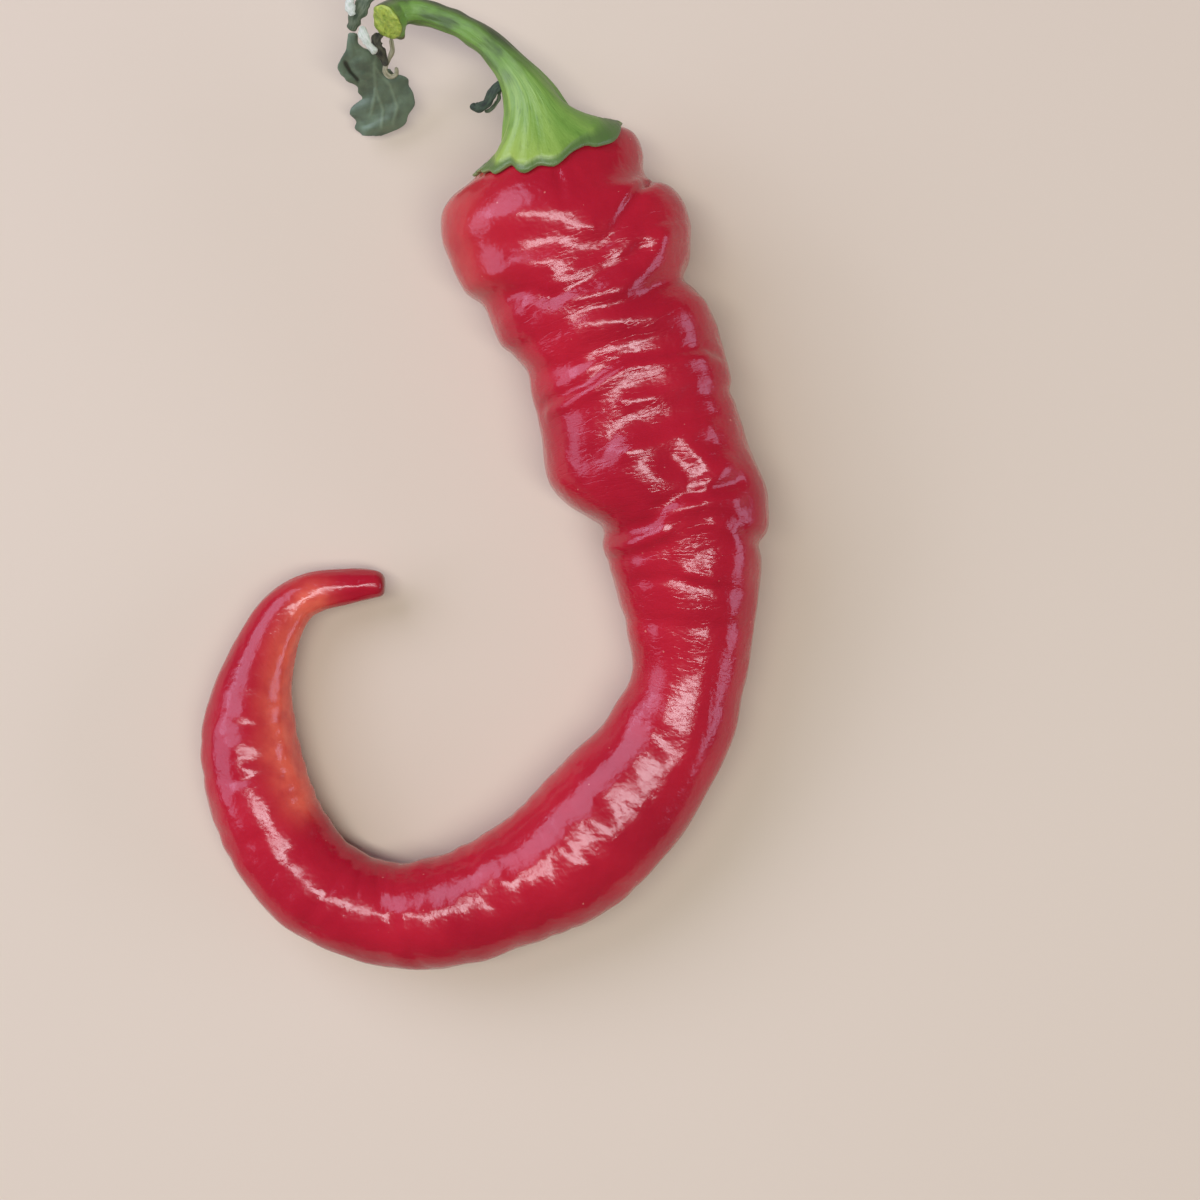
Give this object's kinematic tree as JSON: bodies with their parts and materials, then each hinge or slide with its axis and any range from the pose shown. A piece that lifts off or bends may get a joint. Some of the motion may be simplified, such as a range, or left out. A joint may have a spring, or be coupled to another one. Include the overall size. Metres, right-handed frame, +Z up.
{
  "type": "sweet frying pepper",
  "caption": "Slender, folded red sweet frying pepper lying on its side, hooked round at the tip, with a toothed green cap, an arched stem and a scrap of withered leaf.",
  "frame": {"origin": "middle of the part's outline seen from above, on the surface that the pod lies on", "axes": "+Z up from the surface; +Y along the upper half of the pod towards its stem; the tail hooks round on the -X side"},
  "size_m": [0.0917, 0.1554, 0.0294],
  "materials": {
    "red_skin": "glossy waxy skin with fine wrinkles",
    "fresh_green": "satin, ribbed along the stem, toothed at the cap's rim",
    "withered_leaf": "dull, limp, with pale veins",
    "dark_bract": "dull, curled",
    "torn_bark": "rough, fibrous",
    "withered_strip": "dry, dark",
    "pale_fibre": "matt, fibrous",
    "dry_thread": "matt, dry"
  },
  "bodies": {
    "root": {"pod": "red_skin", "stem_and_cap": "fresh_green", "withered_leaf": "withered_leaf", "side_bract": "dark_bract", "torn_bark": "torn_bark", "withered_strip": "withered_strip", "pale_strip_long": "pale_fibre", "pale_strip_short": "pale_fibre", "curled_thread": "dry_thread"}
  },
  "joints": []
}
